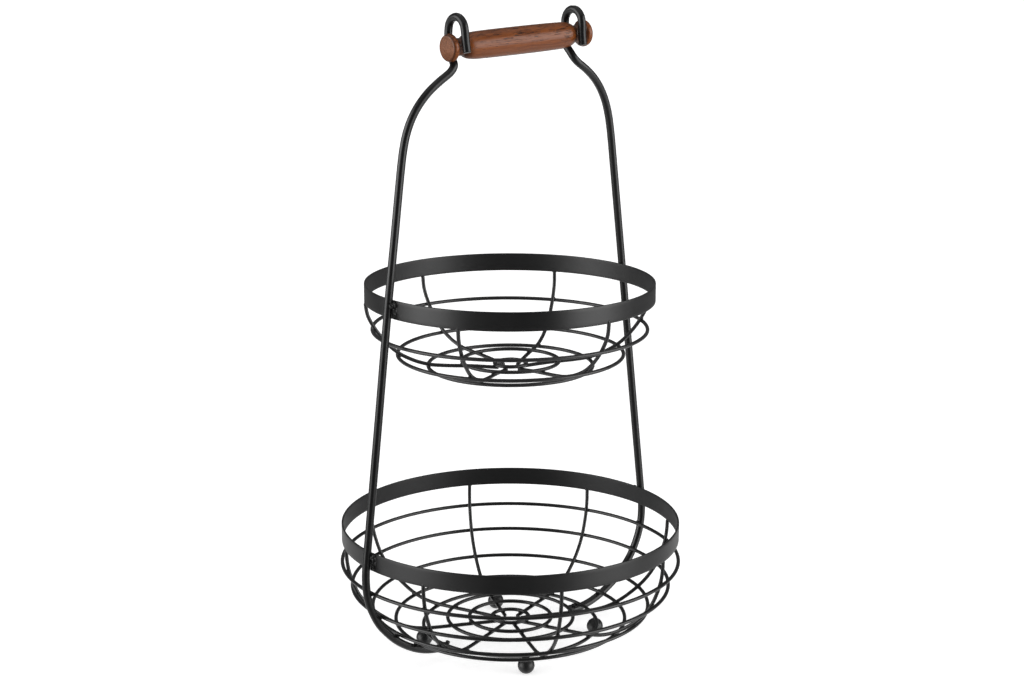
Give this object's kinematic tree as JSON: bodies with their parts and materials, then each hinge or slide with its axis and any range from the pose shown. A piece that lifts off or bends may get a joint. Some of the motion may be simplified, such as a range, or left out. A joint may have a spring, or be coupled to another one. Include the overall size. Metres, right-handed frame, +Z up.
{
  "type": "two-tier etagere",
  "caption": "Welded wire serving stand: a wide round bowl below and a smaller one above, on two bent uprights whose hooked tops hold a turned wooden grip.",
  "frame": {"origin": "on the table plane, under the common axis of the two bowls", "axes": "+Z up from the feet; +X along the grip, from the left upright to the right upright; the hooks at the uprights' tops come down on the -Y side"},
  "size_m": [0.2966, 0.2823, 0.5264],
  "materials": {
    "wire_powder_coat": "satin",
    "rim_powder_coat": "satin",
    "oiled_hardwood": "satin"
  },
  "bodies": {
    "frame": {"lower_rim_band": "rim_powder_coat", "lower_rib_1": "wire_powder_coat", "lower_rib_2": "wire_powder_coat", "lower_rib_3": "wire_powder_coat", "lower_rib_4": "wire_powder_coat", "lower_rib_5": "wire_powder_coat", "lower_rib_6": "wire_powder_coat", "lower_rib_7": "wire_powder_coat", "lower_rib_8": "wire_powder_coat", "lower_wall_ring_1": "wire_powder_coat", "lower_wall_ring_2": "wire_powder_coat", "lower_wall_ring_3": "wire_powder_coat", "lower_wall_ring_4": "wire_powder_coat", "lower_floor_ring_outer": "wire_powder_coat", "lower_floor_ring_middle": "wire_powder_coat", "lower_floor_ring_center": "wire_powder_coat", "foot_ring": "wire_powder_coat", "ball_foot_back_right": "wire_powder_coat", "ball_foot_back_left": "wire_powder_coat", "ball_foot_front_left": "wire_powder_coat", "ball_foot_front_right": "wire_powder_coat", "upper_rim_band": "rim_powder_coat", "upper_rib_1": "wire_powder_coat", "upper_rib_2": "wire_powder_coat", "upper_rib_3": "wire_powder_coat", "upper_rib_4": "wire_powder_coat", "upper_rib_5": "wire_powder_coat", "upper_rib_6": "wire_powder_coat", "upper_wall_ring_1": "wire_powder_coat", "upper_wall_ring_2": "wire_powder_coat", "upper_floor_ring_outer": "wire_powder_coat", "upper_floor_ring_middle": "wire_powder_coat", "upper_floor_ring_center": "wire_powder_coat", "left_upright": "wire_powder_coat", "right_upright": "wire_powder_coat", "lower_left_weld_bead": "wire_powder_coat", "lower_right_weld_bead": "wire_powder_coat", "upper_left_weld_bead": "wire_powder_coat", "upper_right_weld_bead": "wire_powder_coat"},
    "grip": {"wooden_grip": "oiled_hardwood"}
  },
  "joints": [
    {"name": "grip_roll", "type": "hinge", "parent": "frame", "child": "grip", "pos_m": [0.0018, -0.0068, 0.50167], "axis": [0.9993, 0, 0.0384], "continuous": true}
  ]
}
